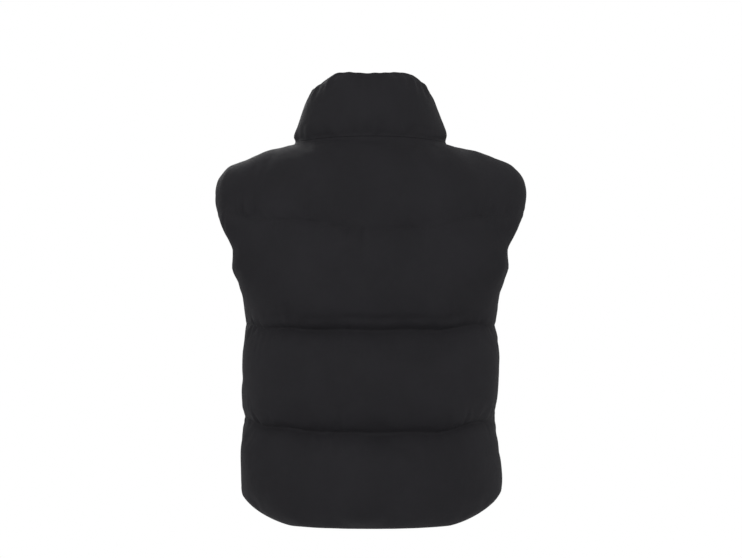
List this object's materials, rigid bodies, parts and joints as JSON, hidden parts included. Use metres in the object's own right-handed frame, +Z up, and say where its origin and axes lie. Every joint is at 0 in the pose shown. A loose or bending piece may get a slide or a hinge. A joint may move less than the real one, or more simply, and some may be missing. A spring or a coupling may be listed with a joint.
{
  "type": "puffer vest",
  "caption": "Sleeveless quilted puffer vest filled out as worn, with a padded stand collar, wide horizontal channels and a closed front zip whose pull tab swings.",
  "frame": {"origin": "midway between the two high shoulder points, where the shoulder seams meet the collar; the wearer's shoulders hold the vest there", "axes": "+Z up, +X towards the wearer's left, -Y out of the zipped front, +Y out of the back"},
  "size_m": [0.4812, 0.3092, 0.6821],
  "materials": {
    "shell": "matte woven nylon, soft sheen",
    "tape": "woven tape",
    "teeth": "moulded, satin",
    "slider": "dark satin enamel"
  },
  "bodies": {
    "vest": {"back_panel": "shell", "front_left": "shell", "front_right": "shell", "collar": "shell", "zip_tape_left": "tape", "zip_tape_right": "tape", "zip_chain": "teeth", "zip_retainer": "teeth", "zip_slider": "slider"},
    "pull_tab": {"zip_pull_tab": "slider"}
  },
  "joints": [
    {"name": "pull_tab_swing", "type": "hinge", "parent": "vest", "child": "pull_tab", "pos_m": [0, -0.10065, 0.02512], "axis": [-1, 0, 0], "range_deg": [0, 150]}
  ]
}
